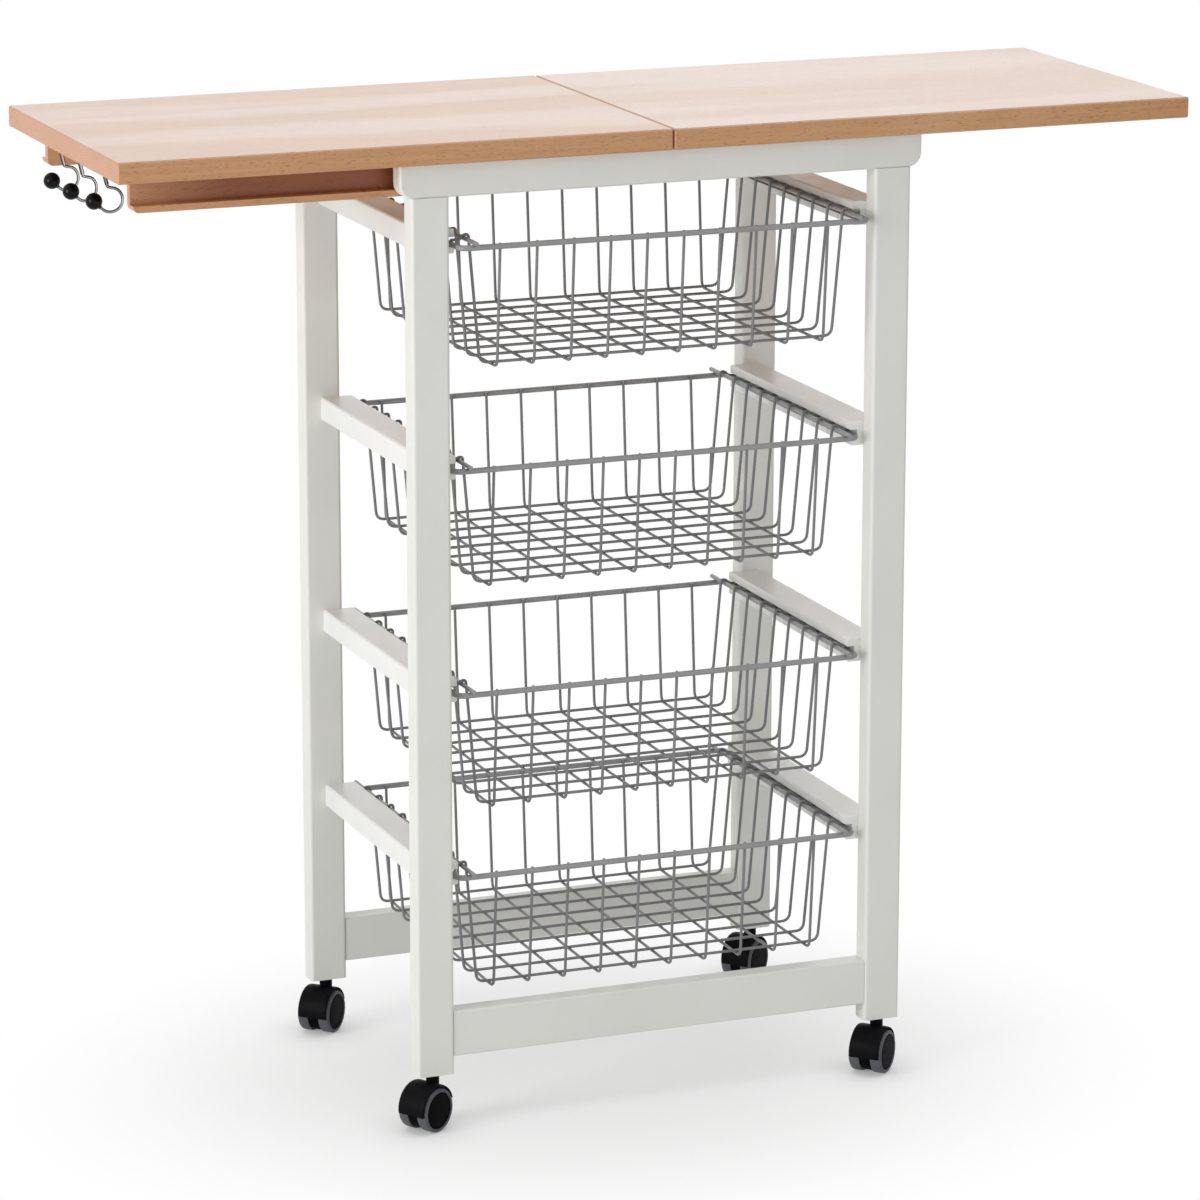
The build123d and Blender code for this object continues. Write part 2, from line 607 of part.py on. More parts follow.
def wheel(y_side):
    """A moulded wheel with a rounded outer shoulder and a sunk side disc."""
    radius = WHEEL_DIAMETER / 2
    bore = AXLE_DIAMETER / 2 + AXLE_GAP
    bore_end = WHEEL_INNER + AXLE_IN_WHEEL + WHEEL_GAP
    disc = radius - WHEEL_TREAD
    outline = Polyline(
        (bore, WHEEL_INNER),
        (radius, WHEEL_INNER),
        (radius, WHEEL_OUTER - WHEEL_SHOULDER),
        (radius - WHEEL_SHOULDER, WHEEL_OUTER),
        (disc, WHEEL_OUTER),
        (disc - WHEEL_DISC_STEP, WHEEL_OUTER - WHEEL_DISC_STEP),
        (0, WHEEL_OUTER - WHEEL_DISC_STEP),
        (0, bore_end),
        (bore, bore_end),
        close=True,
    )
    solid = revolve(make_face(outline), Axis.Y)
    if y_side < 0:
        solid = mirror(solid, about=Plane.XZ)
    return Pos(-CASTOR_TRAIL, 0, AXLE_Z) * solid


def socket():
    """The sleeve in the leg that the stem turns in."""
    sleeve = bar((0, 0, CASTOR_HEIGHT), (0, 0, CASTOR_HEIGHT + SOCKET_LENGTH), SOCKET_DIAMETER)
    return sleeve - bar(
        (0, 0, CASTOR_HEIGHT), (0, 0, CASTOR_HEIGHT + STEM_IN_LEG + STEM_GAP), STEM_DIAMETER + 2 * STEM_GAP
    )


def make_castors():
    parts = {"hood": hood(), "stem": stem(), "axle": axle(), "wheel_left": wheel(1), "wheel_right": wheel(-1)}
    sockets = []
    for x_name, x_side in SIDES.items():
        for y_name, y_side in ENDS.items():
            place = Pos(x_side * LEG_X, y_side * LEG_Y, 0)
            turn = Rot(0, 0, CASTOR_TURNS[f"{y_name}_{x_name}"])
            for part_name, solid in parts.items():
                save(f"castor_{y_name}_{x_name}_{part_name}", place * turn * solid)
            sockets.append(place * socket())
    save("castor_sockets", *sockets)


os.makedirs("parts", exist_ok=True)
make_frame()
make_top()
make_baskets()
make_castors()
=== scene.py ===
import math

import bmesh
import bpy
from mathutils import Matrix, Vector


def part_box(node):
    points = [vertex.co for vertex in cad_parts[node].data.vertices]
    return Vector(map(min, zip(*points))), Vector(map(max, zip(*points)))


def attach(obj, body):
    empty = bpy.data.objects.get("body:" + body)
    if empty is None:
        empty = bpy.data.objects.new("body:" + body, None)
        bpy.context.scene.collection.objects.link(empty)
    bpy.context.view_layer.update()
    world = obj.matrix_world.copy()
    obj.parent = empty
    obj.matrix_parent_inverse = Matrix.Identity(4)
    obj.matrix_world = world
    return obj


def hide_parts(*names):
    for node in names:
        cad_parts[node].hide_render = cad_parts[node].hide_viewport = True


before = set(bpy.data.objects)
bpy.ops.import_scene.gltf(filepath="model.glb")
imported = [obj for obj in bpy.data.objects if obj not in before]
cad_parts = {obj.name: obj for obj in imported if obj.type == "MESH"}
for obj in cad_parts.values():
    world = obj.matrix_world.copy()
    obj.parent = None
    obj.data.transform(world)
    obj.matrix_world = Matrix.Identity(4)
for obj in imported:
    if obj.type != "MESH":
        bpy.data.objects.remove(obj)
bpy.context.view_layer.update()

# Kitchen cart: the looks. Metres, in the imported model's own frame: X along the worktop, Y from the
# front to the back, Z up from the floor.

MM = 0.001
SIDES = ("left", "right")
ENDS = ("front", "back")
BASKETS = (1, 2, 3, 4)

# Basket wires, on their centre lines
RIM_WIRE = 5.0 * MM
ROD_WIRE = 4.0 * MM
WIRE = 2.6 * MM
RIM_BEND = 8.5 * MM
ROD_FROM_RIM = 11.5 * MM
ROD_OVERHANG = 8.0 * MM
LONG_WIRES = 10
LONG_WIRE_PITCH = 33.6 * MM
LONG_WIRE_LEAN = math.radians(4.5)
LONG_WIRE_ABOVE_RIM = 2.0 * MM
CROSS_WIRES = 9
CROSS_WIRE_PITCH = 31.6 * MM
CROSS_WIRE_LEAN = math.radians(5.0)
BASKET_DEPTH = 106.0 * MM
FLOOR_BEND = 7.5 * MM
LAP_BEND = 2.2 * MM
LAP_TOP_BEND = 0.9 * LAP_BEND
# Where a cross wire's climb over a rod starts and ends, as shares of the distance between their centres
LAP_START = 1.35
LAP_END = 0.35

# Channels under the left leaf, and the painted shade on the floor of their groove, darker towards the frame:
# how it fades off the floor, how deep it is at the pale end and further in, and what it leaves of the wood's
# colour
CHANNEL_LIP = 10.0 * MM
CHANNEL_PALE_END = 85.0 * MM
GROOVE_FADE = (0.4 * MM, 1.2 * MM)
GROOVE_SHADE = (0.16, 0.86)
GROOVE_SHADE_COLOUR = (0.42, 0.15, 0.0, 1.0)

# Hooks: the distance of each from the leaf's end and its place along Y, its turn in degrees, and the shank
HOOK_PLACES = {
    "front": (23.0 * MM, -57.0 * MM),
    "middle": (19.0 * MM, 2.0 * MM),
    "back": (19.0 * MM, 59.0 * MM),
}
HOOK_TURNS = {"front": -14.0, "middle": 9.0, "back": 4.0}
HOOK_WIRE = 2.6 * MM
HOOK_DROP = 30.4 * MM
HOOK_LEAN = 4.5 * MM
HOOK_SHANK_WIRE = 3.6 * MM
HOOK_IN_LEAF = 6.0 * MM
HOOK_STRAIGHT = 2.0 * MM
HOOK_FOOT_LEAN = 0.4 * MM
HOOK_FOOT_RISE = 2.0 * MM
# A hook's loop: its control points stand a little outside the wire, from the first angle to the last one
HOOK_RADIUS = 10.4 * MM
HOOK_KNEE = 1.8 * MM
HOOK_SPREAD = 1.04
HOOK_FIRST_ANGLE = 60.0
HOOK_LAST_ANGLE = -122.0
HOOK_LOOP_POINTS = 8
HOOK_TAIL_ANGLE = -135.0
HOOK_TAIL = 1.4 * MM
HOOK_TAIL_IN_BALL = 1.4 * MM
HOOK_BALL = 14.4 * MM
COLLAR_RADIUS = 1.8 * MM
COLLAR_HEIGHT = 0.7 * MM
COLLAR_BEVEL = 0.3 * MM

# Castors, drawn with the stem on the Z axis and the wheels trailing along -X
CASTOR_TURNS = {"front_left": 32.0, "front_right": 44.0, "back_left": 46.0, "back_right": 38.0}
CASTOR_TRAIL = 10.0 * MM
WHEEL_RADIUS = 19.6 * MM
WHEEL_INNER = 5.2 * MM
WHEEL_OUTER = 15.8 * MM
DISC_RADIUS = 16.5 * MM
DISC_GAP = 0.15 * MM
DOME_SHARE = 0.93
DOME_FOOT = 1.2 * MM
DOME_RISE = 1.0 * MM
DOME_ANGLES = (0.1, 0.4, 0.7, 1.0, 1.3)
HUB_RADIUS = 18.2 * MM
HUB_HALF = 4.7 * MM
HUB_EDGE = 1.0 * MM
HUB_RIBS = 5
HUB_RIB_PITCH = 1.5 * MM
HUB_RIB_HEIGHT = 0.7 * MM
HUB_RIB_FOOT = 0.6 * MM
HUB_RIB_TOP = 0.35 * MM
HOOD_X = -9.8 * MM
HOOD_Z = 20.8 * MM
HOOD_RADIUS = 21.6 * MM
HOOD_SHELL = 1.2 * MM
HOOD_HALF = 14.3 * MM
HOOD_EDGE = 0.2 * MM
HOOD_TIP = math.radians(14.2)
HOOD_TAIL = math.radians(188.5)
HOOD_SHOULDER = (1.1 * MM, 3.0 * MM)
BRIDGE_PLACE = (-10.0 * MM, 0.0, 36.9 * MM)
BRIDGE_SIZE = (16.0 * MM, 2 * HUB_HALF, 5.0 * MM)
BRIDGE_BEVEL = 0.8 * MM
NECK_RADIUS = 5.8 * MM
NECK_START = 34.0 * MM
NECK_TOP = 48.4 * MM
NECK_BEVEL = 0.6 * MM

# How finely round shapes are drawn, up to which angle in degrees they are shaded smooth, and how near
# to each other two points have to be to become one
KNOB_POINTS = 20
KNOB_STEPS = 40
TYRE_STEPS = 96
DISC_STEPS = 72
HUB_STEPS = 72
HOOD_STEPS = 40
HOOD_SHOULDER_POINTS = 7
NECK_STEPS = 48
SMOOTH_ANGLE = 35.0
TYRE_SMOOTH_ANGLE = 28.0
WELD_DISTANCE = 1e-7

# Finishes: the range that most of a noise pattern's values lie in, and how rough each surface is, at least
# and at most
NOISE_RANGE = (0.3, 0.7)
SATIN = (0.34, 0.44)
BEECH_SATIN = (0.34, 0.46)
METAL_ROUGHNESS = (0.24, 0.38)
CHROME_ROUGHNESS = (0.08, 0.16)

# Camera and lights. The floor is lifted towards white by a share that grows from the middle of its patch,
# which is an oval, and that falls again close to what stands on it
CAMERA_PLACE = (-1.7004, -4.2856, 1.5778)
CAMERA_TARGET = (0.0016, 0.0, 0.4212)
CAMERA_LENS = 159.15
CAMERA_SENSOR = 36.0
CAMERA_REACH = 100.0
CAMERA_ROLL = math.radians(0.05)
AMBIENT = 0.41
FLOOR_HALF = 14.0
FLOOR_PATCH = (0.57, 0.48)
FLOOR_PATCH_CENTRE = (-0.03, -0.05)
FLOOR_PATCH_CORE = 0.2
FLOOR_LIFT = 0.5
CONTACT_REACH = 45.0 * MM
CONTACT_CORE = 0.3
CONTACT_LIFT = 0.35

# Plain colours, linear
WHITE = (1.0, 1.0, 1.0, 1.0)
FLOOR_GREY = (0.88, 0.88, 0.88, 1.0)
ZINC = (0.6, 0.61, 0.63, 1.0)
BRASS = (0.75, 0.56, 0.28, 1.0)


# Materials


class Value:
    """A socket in a material, with arithmetic that adds Math nodes to it."""

    def __init__(self, finish, socket):
        self.finish = finish
        self.socket = socket

    def math(self, operation, *others):
        return self.finish.node("ShaderNodeMath", {"operation": operation}, [self, *others])

    def __add__(self, other):
        return self.math("ADD", other)

    def __sub__(self, other):
        return self.math("SUBTRACT", other)

    def __mul__(self, other):
        return self.math("MULTIPLY", other)


class Finish:
    """The node tree of one procedural material, or of the world."""

    def __init__(self, owner):
        owner.use_nodes = True
        self.owner = owner
        self.nodes = owner.node_tree.nodes
        self.links = owner.node_tree.links
        self.nodes.clear()

    def node(self, kind, settings=None, inputs=(), output=0):
        """Adds a node: its settings first, then values or links for its sockets. Returns one output."""
        made = self.nodes.new(kind)
        for name, setting in (settings or {}).items():
            if name == "stops":
                self.set_stops(made.color_ramp, setting)
            else:
                setattr(made, name, setting)
        for name, given in inputs.items() if isinstance(inputs, dict) else enumerate(inputs):
            if isinstance(given, Value):
                self.links.new(given.socket, made.inputs[name])
            else:
                made.inputs[name].default_value = given
        return Value(self, made.outputs[output]) if made.outputs else None

    @staticmethod
    def set_stops(ramp, stops):
        while len(ramp.elements) < len(stops):
            ramp.elements.new(1.0)
        for element, (position, colour) in zip(ramp.elements, stops):
            element.position = position
            element.color = colour

    def place(self):
        """Object coordinates."""
        return self.node("ShaderNodeTexCoord", output="Object")

    def facing(self, axis):
        """How far a surface faces along one axis of its object."""
        normal = self.node("ShaderNodeTexCoord", output="Normal")
        return self.node("ShaderNodeSeparateXYZ", {}, [normal], axis)

    def stretched(self, place, scale):
        return self.node("ShaderNodeMapping", {}, {"Vector": place, "Scale": scale})

    def noise(self, place, scale, detail=3.0, roughness=0.5, distortion=0.0):
        inputs = {
            "Vector": place,
            "Scale": scale,
            "Detail": detail,
            "Roughness": roughness,
            "Distortion": distortion,
        }
        return self.node("ShaderNodeTexNoise", {}, inputs)

    def between(self, value, low, high, to_low=0.0, to_high=1.0, shape="LINEAR"):
        """A value's range from low to high, stretched to a new range and clamped."""
        settings = {"interpolation_type": shape}
        return self.node("ShaderNodeMapRange", settings, [value, low, high, to_low, to_high])

    def blend(self, factor, first, second, mode="MIX"):
        """A mix of two colours. The Mix node has several sockets of one name, so they go by number."""
        settings = {"data_type": "RGBA", "blend_type": mode}
        return self.node("ShaderNodeMix", settings, {0: factor, 6: first, 7: second}, 2)

    def ramp(self, factor, stops):
        return self.node("ShaderNodeValToRGB", {"stops": stops}, [factor])

    def bump(self, height, distance, strength):
        return self.node("ShaderNodeBump", {}, {"Height": height, "Distance": distance, "Strength": strength})

    def surface(self, **inputs):
        """Ends a material with the Principled shader."""
        sockets = {name.replace("_", " "): value for name, value in inputs.items()}
        return self.end(self.node("ShaderNodeBsdfPrincipled", {}, sockets))

    def end(self, shader, kind="ShaderNodeOutputMaterial"):
        self.node(kind, {}, [shader])
        return self.owner

    def seen_plainly(self):
        """1 for rays from the camera, and for those that metal and glass send on."""
        camera = self.node("ShaderNodeLightPath", output="Is Camera Ray")
        glossy = self.node("ShaderNodeLightPath", output="Is Glossy Ray")
        through = self.node("ShaderNodeLightPath", output="Is Transmission Ray")
        return camera.math("MAXIMUM", glossy).math("MAXIMUM", through)


def finish_named(name):
    return Finish(bpy.data.materials.new(name))


def rgb(red, green, blue):
    """A colour given as a screen shows it, 0 to 255, in Blender's linear values."""
    linear = []
    for share in (red / 255, green / 255, blue / 255):
        linear.append(share / 12.92 if share <= 0.04045 else ((share + 0.055) / 1.055) ** 2.4)
    return (*linear, 1.0)


def white_lacquer(name, grain, dark, light):
    """Warm-white satin lacquer between two tones, with the wood's grain just telling through it.

    grain is the scale of the grain's pattern along X, Y and Z.
    """
    finish = finish_named(name)
    place = finish.place()
    tone = finish.between(finish.noise(place, 9.0, detail=2.0), 0.35, 0.65)
    pores = finish.noise(finish.stretched(place, grain), 420.0, roughness=0.6)
    brushed = finish.noise(finish.stretched(place, grain), 90.0, detail=2.0)
    orange_peel = finish.noise(place, 900.0, detail=2.0)
    height = pores * 0.5 + brushed * 0.3 + orange_peel * 0.3
    return finish.surface(
        Base_Color=finish.blend(tone, dark, light),
        Roughness=finish.between(finish.noise(place, 60.0), *NOISE_RANGE, *SATIN),
        Normal=finish.bump(height, 0.06 * MM, 0.6),
    )


def beech(name, shift, top=(0.0, 0.0), groove=None):
    """Lacquered beech: soft figure along X, short dark flecks, pink end grain, and painted sheen as paler
    long bands on the top.

    shift moves the pattern, so that no two boards are alike. top says how pale the painted sheen makes the
    top in the plain bands and in the pale ones. groove says how far out along Y the floor of a groove with
    painted shade lies, and where along X that painted shade starts and where it is deepest.
    """
    figure_tones = [(0.30, rgb(186, 134, 90)), (0.48, rgb(203, 151, 105)), (0.70, rgb(214, 166, 122))]
    ring_tone = rgb(186, 130, 84)
    painted_sheen_tone = rgb(226, 203, 191)
    fleck_tone = rgb(128, 80, 46)
    end_tones = [(0.3, rgb(184, 130, 94)), (0.7, rgb(213, 161, 127))]

    finish = finish_named(name)
    place = finish.node("ShaderNodeVectorMath", {"operation": "ADD"}, [finish.place(), shift])

    figure = finish.noise(finish.stretched(place, (1.3, 13.0, 13.0)), 1.6, distortion=0.9)
    rings = (figure * 26.0).math("SINE") * 0.5 + 0.5
    fibre = finish.noise(finish.stretched(place, (8.0, 420.0, 420.0)), 1.4, roughness=0.6)
    flecks = finish.noise(finish.stretched(place, (190.0, 1500.0, 1100.0)), 1.0, detail=2.0)
    fleck = finish.between(flecks, 0.6, 0.68)
    bands = finish.noise(
        finish.stretched(place, (1.1, 11.0, 11.0)), 1.0, detail=2.0, roughness=0.45, distortion=0.3
    )
    band = finish.between(bands, 0.40, 0.60, shape="SMOOTHSTEP")

    upward = finish.between(finish.facing("Z"), 0.6, 0.9)
    wood = finish.ramp(figure * 0.55 + fibre * 0.45, figure_tones)
    wood = finish.blend(rings * 0.16, wood, ring_tone)
    # Top faces paled towards a pale tone in long bands: painted sheen
    wood = finish.blend(upward * finish.between(band, 0.0, 1.0, *top), wood, painted_sheen_tone)
    wood = finish.blend(fleck * finish.between(upward, 0.0, 1.0, 0.5, 0.3), wood, fleck_tone)

    end_grain = finish.noise(finish.stretched(place, (120.0, 260.0, 700.0)), 1.5, roughness=0.6)
    endward = finish.between(finish.facing("X").math("ABSOLUTE"), 0.6, 0.8)
    colour = finish.blend(endward, wood, finish.ramp(end_grain, end_tones))

    # Painted shade on a groove's floor, multiplied into the colour and deepening along X towards the frame
    if groove:
        floor, start, deepest = groove
        along, across = [finish.node("ShaderNodeSeparateXYZ", {}, [finish.place()], axis) for axis in "XY"]
        off_floor = (across.math("ABSOLUTE") - floor).math("ABSOLUTE")
        shade = finish.between(along, start, deepest, *GROOVE_SHADE)
        shade = shade * finish.between(off_floor, *GROOVE_FADE, 1.0, 0.0)
        colour = finish.blend(shade, colour, GROOVE_SHADE_COLOUR, "MULTIPLY")

    return finish.surface(
        Base_Color=colour,
        Roughness=finish.between(fibre, *NOISE_RANGE, *BEECH_SATIN),
        Normal=finish.bump(fibre * 0.6 - fleck * 0.5, 0.08 * MM, 0.7),
        Specular_IOR_Level=0.3,
        Coat_Weight=finish.between(band, 0.0, 1.0, 0.18, 0.26),
        Coat_Roughness=0.28,
    )


def grey_wire(name, dark, light):
    """Grey powder coat on round wire."""
    finish = finish_named(name)
    place = finish.place()
    cloud = finish.noise(place, 35.0)
    grit = finish.noise(place, 1600.0, detail=2.0)
    return finish.surface(
        Base_Color=finish.blend(finish.between(cloud, *NOISE_RANGE), dark, light),
        Metallic=0.1,
        Roughness=finish.between(cloud, *NOISE_RANGE, *SATIN),
        Normal=finish.bump(grit, 0.05 * MM, 0.5),
    )


def metal(name, colour):
    """Bare or plated metal, rougher and smoother in fine streaks."""
    finish = finish_named(name)
    streaks = finish.noise(finish.stretched(finish.place(), (1.0, 1.0, 14.0)), 300.0, detail=2.0)
    roughness = finish.between(streaks, *NOISE_RANGE, *METAL_ROUGHNESS)
    return finish.surface(Base_Color=colour, Metallic=1.0, Roughness=roughness)


def chrome():
    """Chrome plate with a painted reflection: bright where it faces the front or the back, dark along the
    wire's sides.
    """
    tones = [(0.4, rgb(26, 27, 26)), (0.78, rgb(78, 78, 71)), (0.97, rgb(164, 165, 166))]
    finish = finish_named("chrome")
    # Painted reflection: the colour follows how far the surface faces along Y
    colour = finish.ramp(finish.facing("Y").math("ABSOLUTE"), tones)
    haze = finish.noise(finish.place(), 200.0, detail=2.0)
    roughness = finish.between(haze, *NOISE_RANGE, *CHROME_ROUGHNESS)
    return finish.surface(Base_Color=colour, Metallic=1.0, Roughness=roughness)


def moulded(name, dark, light, rough, gloss, depth=0.04 * MM):
    """Moulded plastic or rubber between two tones, with a fine even grain of a given depth.

    rough is the roughness that the surface keeps near to, and gloss the strength of its shine.
    """
    finish = finish_named(name)
    place = finish.place()
    cloud = finish.between(finish.noise(place, 120.0), *NOISE_RANGE)
    return finish.surface(
        Base_Color=finish.blend(cloud, dark, light),
        Roughness=finish.between(cloud, 0.0, 1.0, rough - 0.05, rough + 0.06),
        Specular_IOR_Level=gloss,
        Normal=finish.bump(finish.noise(place, 1400.0, detail=2.0), depth, 0.6),
    )


# Pieces


def add_object(name, data):
    """Puts data in the scene as an object."""
    made = bpy.data.objects.new(name, data)
    bpy.context.scene.collection.objects.link(made)
    return made


def set_up(name, data, material, body, replaces):
    """Puts finished data in the scene as a piece that rides on a body."""
    piece = add_object(name, data)
    data.materials.append(material)
    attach(piece, body)
    if replaces:
        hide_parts(*replaces)


def mesh_from(name, make):
    """A mesh from the bmesh that a function fills."""
    form = bmesh.new()
    make(form)
    mesh = bpy.data.meshes.new(name)
    form.to_mesh(mesh)
    form.free()
    return mesh


def solid(name, make, material, body, replaces=(), smooth=SMOOTH_ANGLE):
    """A piece from a bmesh, shaded smooth up to an angle."""
    mesh = mesh_from(name, make)
    mesh.polygons.foreach_set("use_smooth", [True] * len(mesh.polygons))
    mesh.set_sharp_from_angle(angle=math.radians(smooth))
    set_up(name, mesh, material, body, replaces)


def turned(form, profile, place, steps, sweep=math.tau):
    """Spins a closed profile about the Y axis, from +X up, then puts the result in its place.

    The profile's points are (radius, place along Y).
    """
    whole = sweep == math.tau
    points = [form.verts.new((radius, along, 0.0)) for radius, along in profile]
    if whole:
        start = points + [form.edges.new(pair) for pair in zip(points, points[1:] + points[:1])]
    else:
        face = form.faces.new(points)
        start = [face, *face.edges, *face.verts]
    bmesh.ops.spin(
        form, geom=start, cent=(0, 0, 0), axis=(0, -1, 0), angle=sweep, steps=steps, use_merge=whole
    )
    bmesh.ops.remove_doubles(form, verts=form.verts, dist=WELD_DISTANCE)
    bmesh.ops.recalc_face_normals(form, faces=form.faces)
    bmesh.ops.transform(form, matrix=place, verts=form.verts)


def add_turned(form, profile, place, steps, sweep=math.tau):
    """Adds a turned part to a form that already holds others."""
    mesh = mesh_from("part", lambda part: turned(part, profile, place, steps, sweep))
    form.from_mesh(mesh)
    bpy.data.meshes.remove(mesh)


def wires(name, runs, thickness, material, body, replaces=()):
    """Round wires on smooth lines. Each run is (points, closed), its points as rounded() gives them."""
    curve = bpy.data.curves.new(name, "CURVE")
    curve.dimensions = "3D"
    curve.bevel_depth = thickness / 2
    curve.bevel_resolution = 3
    curve.use_fill_caps = True
    curve.resolution_u = 4
    for points, closed in runs:
        line = curve.splines.new("NURBS")
        line.points.add(len(points) - 1)
        for place, point in zip(line.points, points):
            place.co = (*point, 1.0)
        line.order_u = 3
        line.use_cyclic_u = closed
        line.use_endpoint_u = not closed
    set_up(name, curve, material, body, replaces)


def rounded(corners, bends, closed=False):
    """Control points that turn each corner of a wire in a smooth bend that starts and ends bend from it."""
    corners = [Vector(corner) for corner in corners]
    count = len(corners)
    points = []
    for i, (corner, bend) in enumerate(zip(corners, bends)):
        if not closed and i in (0, count - 1):
            points.append(corner)
            continue
        before, after = corners[i - 1], corners[(i + 1) % count]
        to_before = (before - corner).normalized() * 2 * bend
        to_after = (after - corner).normalized() * 2 * bend
        points += [corner + to_before, corner, corner + to_after]
    return points, closed


def spread(count, pitch):
    """Values an equal pitch apart, about zero."""
    return [(i - (count - 1) / 2) * pitch for i in range(count)]


def spaced(first, last, count):
    """Values from first to last in equal steps."""
    return [first + (last - first) * i / (count - 1) for i in range(count)]


def polar(radius, angle):
    """The point at an angle on a circle about zero."""
    return radius * math.cos(angle), radius * math.sin(angle)


# Baskets


def both_ends(half):
    """A line's left half, then its mirror image."""
    return [(-across, up) for across, up in half] + [(across, up) for across, up in reversed(half)]


def basket_runs(level):
    """The centre lines of a basket's wires: rim, rods, and long and cross wires."""
    low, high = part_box(f"basket_{level}_rim")
    centre = Vector(((low[0] + high[0]) / 2, (low[1] + high[1]) / 2, low[2] + RIM_WIRE / 2))
    half_x = (high[0] - low[0]) / 2 - RIM_WIRE / 2
    half_y = (high[1] - low[1]) / 2 - ROD_OVERHANG
    rod_x = half_x - ROD_FROM_RIM
    rod_z = (RIM_WIRE + ROD_WIRE) / 2

    def placed(points):
        return [centre + Vector(point) for point in points]

    ring = placed([(half_x, -half_y, 0), (half_x, half_y, 0), (-half_x, half_y, 0), (-half_x, -half_y, 0)])
    ring_runs = [rounded(ring, [RIM_BEND] * 4, closed=True)]
    rod_runs = []
    for x in (-rod_x, rod_x):
        ends = [(x, y, rod_z) for y in (-half_y - ROD_OVERHANG, half_y + ROD_OVERHANG)]
        rod_runs.append((placed(ends), False))

    top_y = half_y - (RIM_WIRE + WIRE) / 2
    lean_in = math.tan(LONG_WIRE_LEAN) * (BASKET_DEPTH + LONG_WIRE_ABOVE_RIM)
    long_half = [(top_y, LONG_WIRE_ABOVE_RIM), (top_y - lean_in, -BASKET_DEPTH)]
    wire_runs = []
    for x in spread(LONG_WIRES, LONG_WIRE_PITCH):
        corners = placed([(x, y, z) for y, z in both_ends(long_half)])
        wire_runs.append(rounded(corners, [0, FLOOR_BEND, FLOOR_BEND, 0]))

    reach = (ROD_WIRE + WIRE) / 2
    floor_z = WIRE - BASKET_DEPTH
    lap_z = (RIM_WIRE + WIRE) / 2
    top_z = rod_z + reach
    wall_x = rod_x - reach
    lean_in = math.tan(CROSS_WIRE_LEAN) * (top_z - floor_z)
    cross_half = [
        (half_x + WIRE / 2, lap_z),
        (rod_x + reach * LAP_START, lap_z),
        (rod_x + reach * LAP_END, top_z),
        (wall_x, top_z),
        (wall_x - lean_in, floor_z),
    ]
    bends = [0, LAP_BEND, LAP_TOP_BEND, LAP_TOP_BEND, FLOOR_BEND]
    for y in spread(CROSS_WIRES, CROSS_WIRE_PITCH):
        corners = placed([(x, y, z) for x, z in both_ends(cross_half)])
        wire_runs.append(rounded(corners, bends + bends[::-1]))
    return ring_runs, rod_runs, wire_runs


def make_baskets():
    coat = grey_wire("grey powder coat", rgb(146, 146, 147), rgb(157, 157, 157))
    # The thin wires get a darker copy of the same coat: painted shade
    shaded_thin_coat = grey_wire("grey powder coat with painted shade on thin wire", rgb(120, 120, 121), rgb(131, 131, 131))
    for level in BASKETS:
        name = f"basket_{level}"
        ring_runs, rod_runs, wire_runs = basket_runs(level)
        wires(f"{name}_ring", ring_runs, RIM_WIRE, coat, name, [f"{name}_rim"])
        wires(f"{name}_rods", rod_runs, ROD_WIRE, coat, name)
        wires(f"{name}_mesh", wire_runs, WIRE, shaded_thin_coat, name, [f"{name}_wires"])


# Hooks


def hook_run(place):
    """A hook's shank, its line from inside the leaf to its ball, and the ball's place with +Y to the tail."""
    middle = Vector((HOOK_KNEE, 0, -HOOK_DROP))
    top = -HOOK_DROP + HOOK_RADIUS
    shank = [
        Vector((-HOOK_LEAN, 0, HOOK_IN_LEAF)),
        Vector((-HOOK_LEAN, 0, -HOOK_STRAIGHT)),
        Vector((-HOOK_FOOT_LEAN, 0, top + HOOK_FOOT_RISE)),
    ]

    def on_loop(radius, degrees):
        x, z = polar(radius, math.radians(degrees))
        return middle + Vector((x, 0, z))

    angles = spaced(HOOK_FIRST_ANGLE, HOOK_LAST_ANGLE, HOOK_LOOP_POINTS)
    loop = [on_loop(HOOK_RADIUS * HOOK_SPREAD, degrees) for degrees in angles]
    tail = on_loop(HOOK_RADIUS, HOOK_TAIL_ANGLE)
    along = Vector((-1, 0, 1)).normalized()
    end = tail + along * (HOOK_TAIL + HOOK_TAIL_IN_BALL)
    line = [*shank, Vector((0, 0, top)), *loop, end]

    turn = Vector((0, 1, 0)).rotation_difference(-along).to_matrix().to_4x4()
    ball = Matrix.Translation(tail + along * (HOOK_TAIL + HOOK_BALL / 2)) @ turn
    return [place @ point for point in shank], [place @ point for point in line], place @ ball


def knob_profile():
    """A ball with a small collar for the wire, round its +Y side."""
    radius = HOOK_BALL / 2
    rim = radius + COLLAR_HEIGHT
    neck = math.asin(COLLAR_RADIUS / radius)
    arc = [polar(radius, angle) for angle in spaced(-math.pi / 2, math.pi / 2 - neck, KNOB_POINTS)]
    return [*arc, (COLLAR_RADIUS, rim - COLLAR_BEVEL), (COLLAR_RADIUS - COLLAR_BEVEL, rim), (0.0, rim)]


